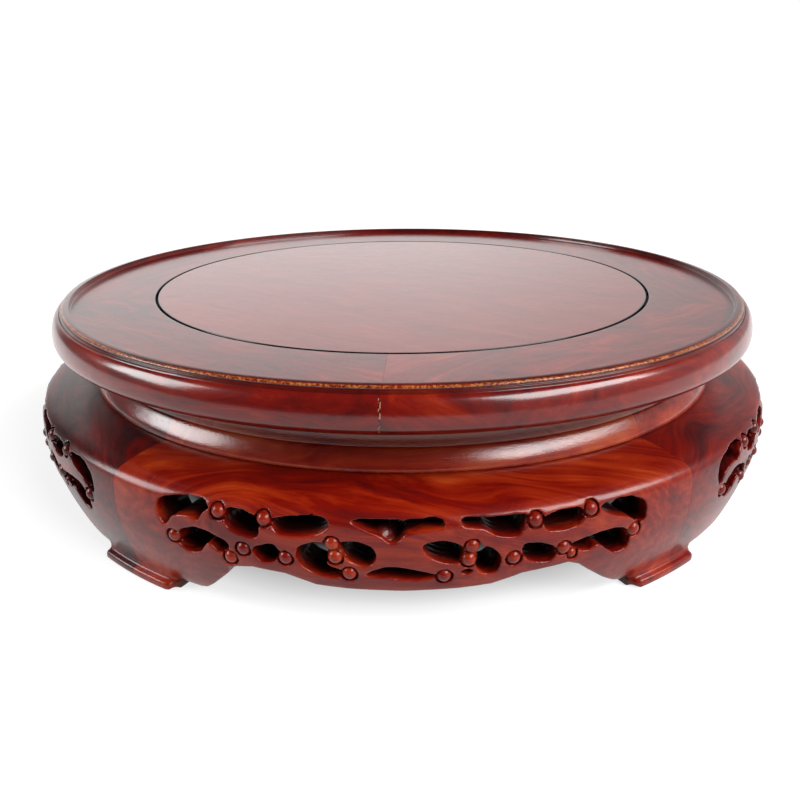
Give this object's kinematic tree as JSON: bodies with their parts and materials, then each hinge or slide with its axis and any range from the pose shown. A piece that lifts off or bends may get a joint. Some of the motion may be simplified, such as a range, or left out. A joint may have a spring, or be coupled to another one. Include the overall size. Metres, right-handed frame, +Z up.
{
  "type": "plant stand",
  "caption": "Low round wooden display stand with a raised rim, a waist moulding and a base carved with an openwork plum branch, on short feet.",
  "frame": {"origin": "on the ground under the centre of the stand", "axes": "+Z up, -Y towards the front, where the middle of one carved panel faces, +X to the right as seen from the front"},
  "size_m": [0.2644, 0.2644, 0.0628],
  "materials": {
    "panel_wood": "red rosewood board under glossy clear lacquer",
    "rim_wood": "red rosewood with dark streaks under glossy clear lacquer",
    "waist_wood": "red rosewood under glossy clear lacquer",
    "base_wood": "carved red rosewood under glossy clear lacquer",
    "fastener_wood": "plain unfinished hardwood"
  },
  "bodies": {
    "root": {"centre_panel": "panel_wood", "rim_segment_1": "rim_wood", "rim_segment_2": "rim_wood", "rim_segment_3": "rim_wood", "rim_segment_4": "rim_wood", "rim_segment_5": "rim_wood", "waist_segment_1": "waist_wood", "waist_segment_2": "waist_wood", "waist_segment_3": "waist_wood", "waist_segment_4": "waist_wood", "waist_segment_5": "waist_wood", "base_block_1": "base_wood", "base_block_2": "base_wood", "base_block_3": "base_wood", "base_block_4": "base_wood", "base_block_5": "base_wood", "rim_tongue_1": "fastener_wood", "rim_tongue_2": "fastener_wood", "rim_tongue_3": "fastener_wood", "rim_tongue_4": "fastener_wood", "rim_tongue_5": "fastener_wood", "waist_dowel_1": "fastener_wood", "waist_dowel_2": "fastener_wood", "waist_dowel_3": "fastener_wood", "waist_dowel_4": "fastener_wood", "waist_dowel_5": "fastener_wood", "waist_dowel_6": "fastener_wood", "waist_dowel_7": "fastener_wood", "waist_dowel_8": "fastener_wood", "waist_dowel_9": "fastener_wood", "waist_dowel_10": "fastener_wood", "leg_dowel_1_lower": "fastener_wood", "leg_dowel_1_upper": "fastener_wood", "leg_dowel_2_lower": "fastener_wood", "leg_dowel_2_upper": "fastener_wood", "leg_dowel_3_lower": "fastener_wood", "leg_dowel_3_upper": "fastener_wood", "leg_dowel_4_lower": "fastener_wood", "leg_dowel_4_upper": "fastener_wood", "leg_dowel_5_lower": "fastener_wood", "leg_dowel_5_upper": "fastener_wood"}
  },
  "joints": []
}
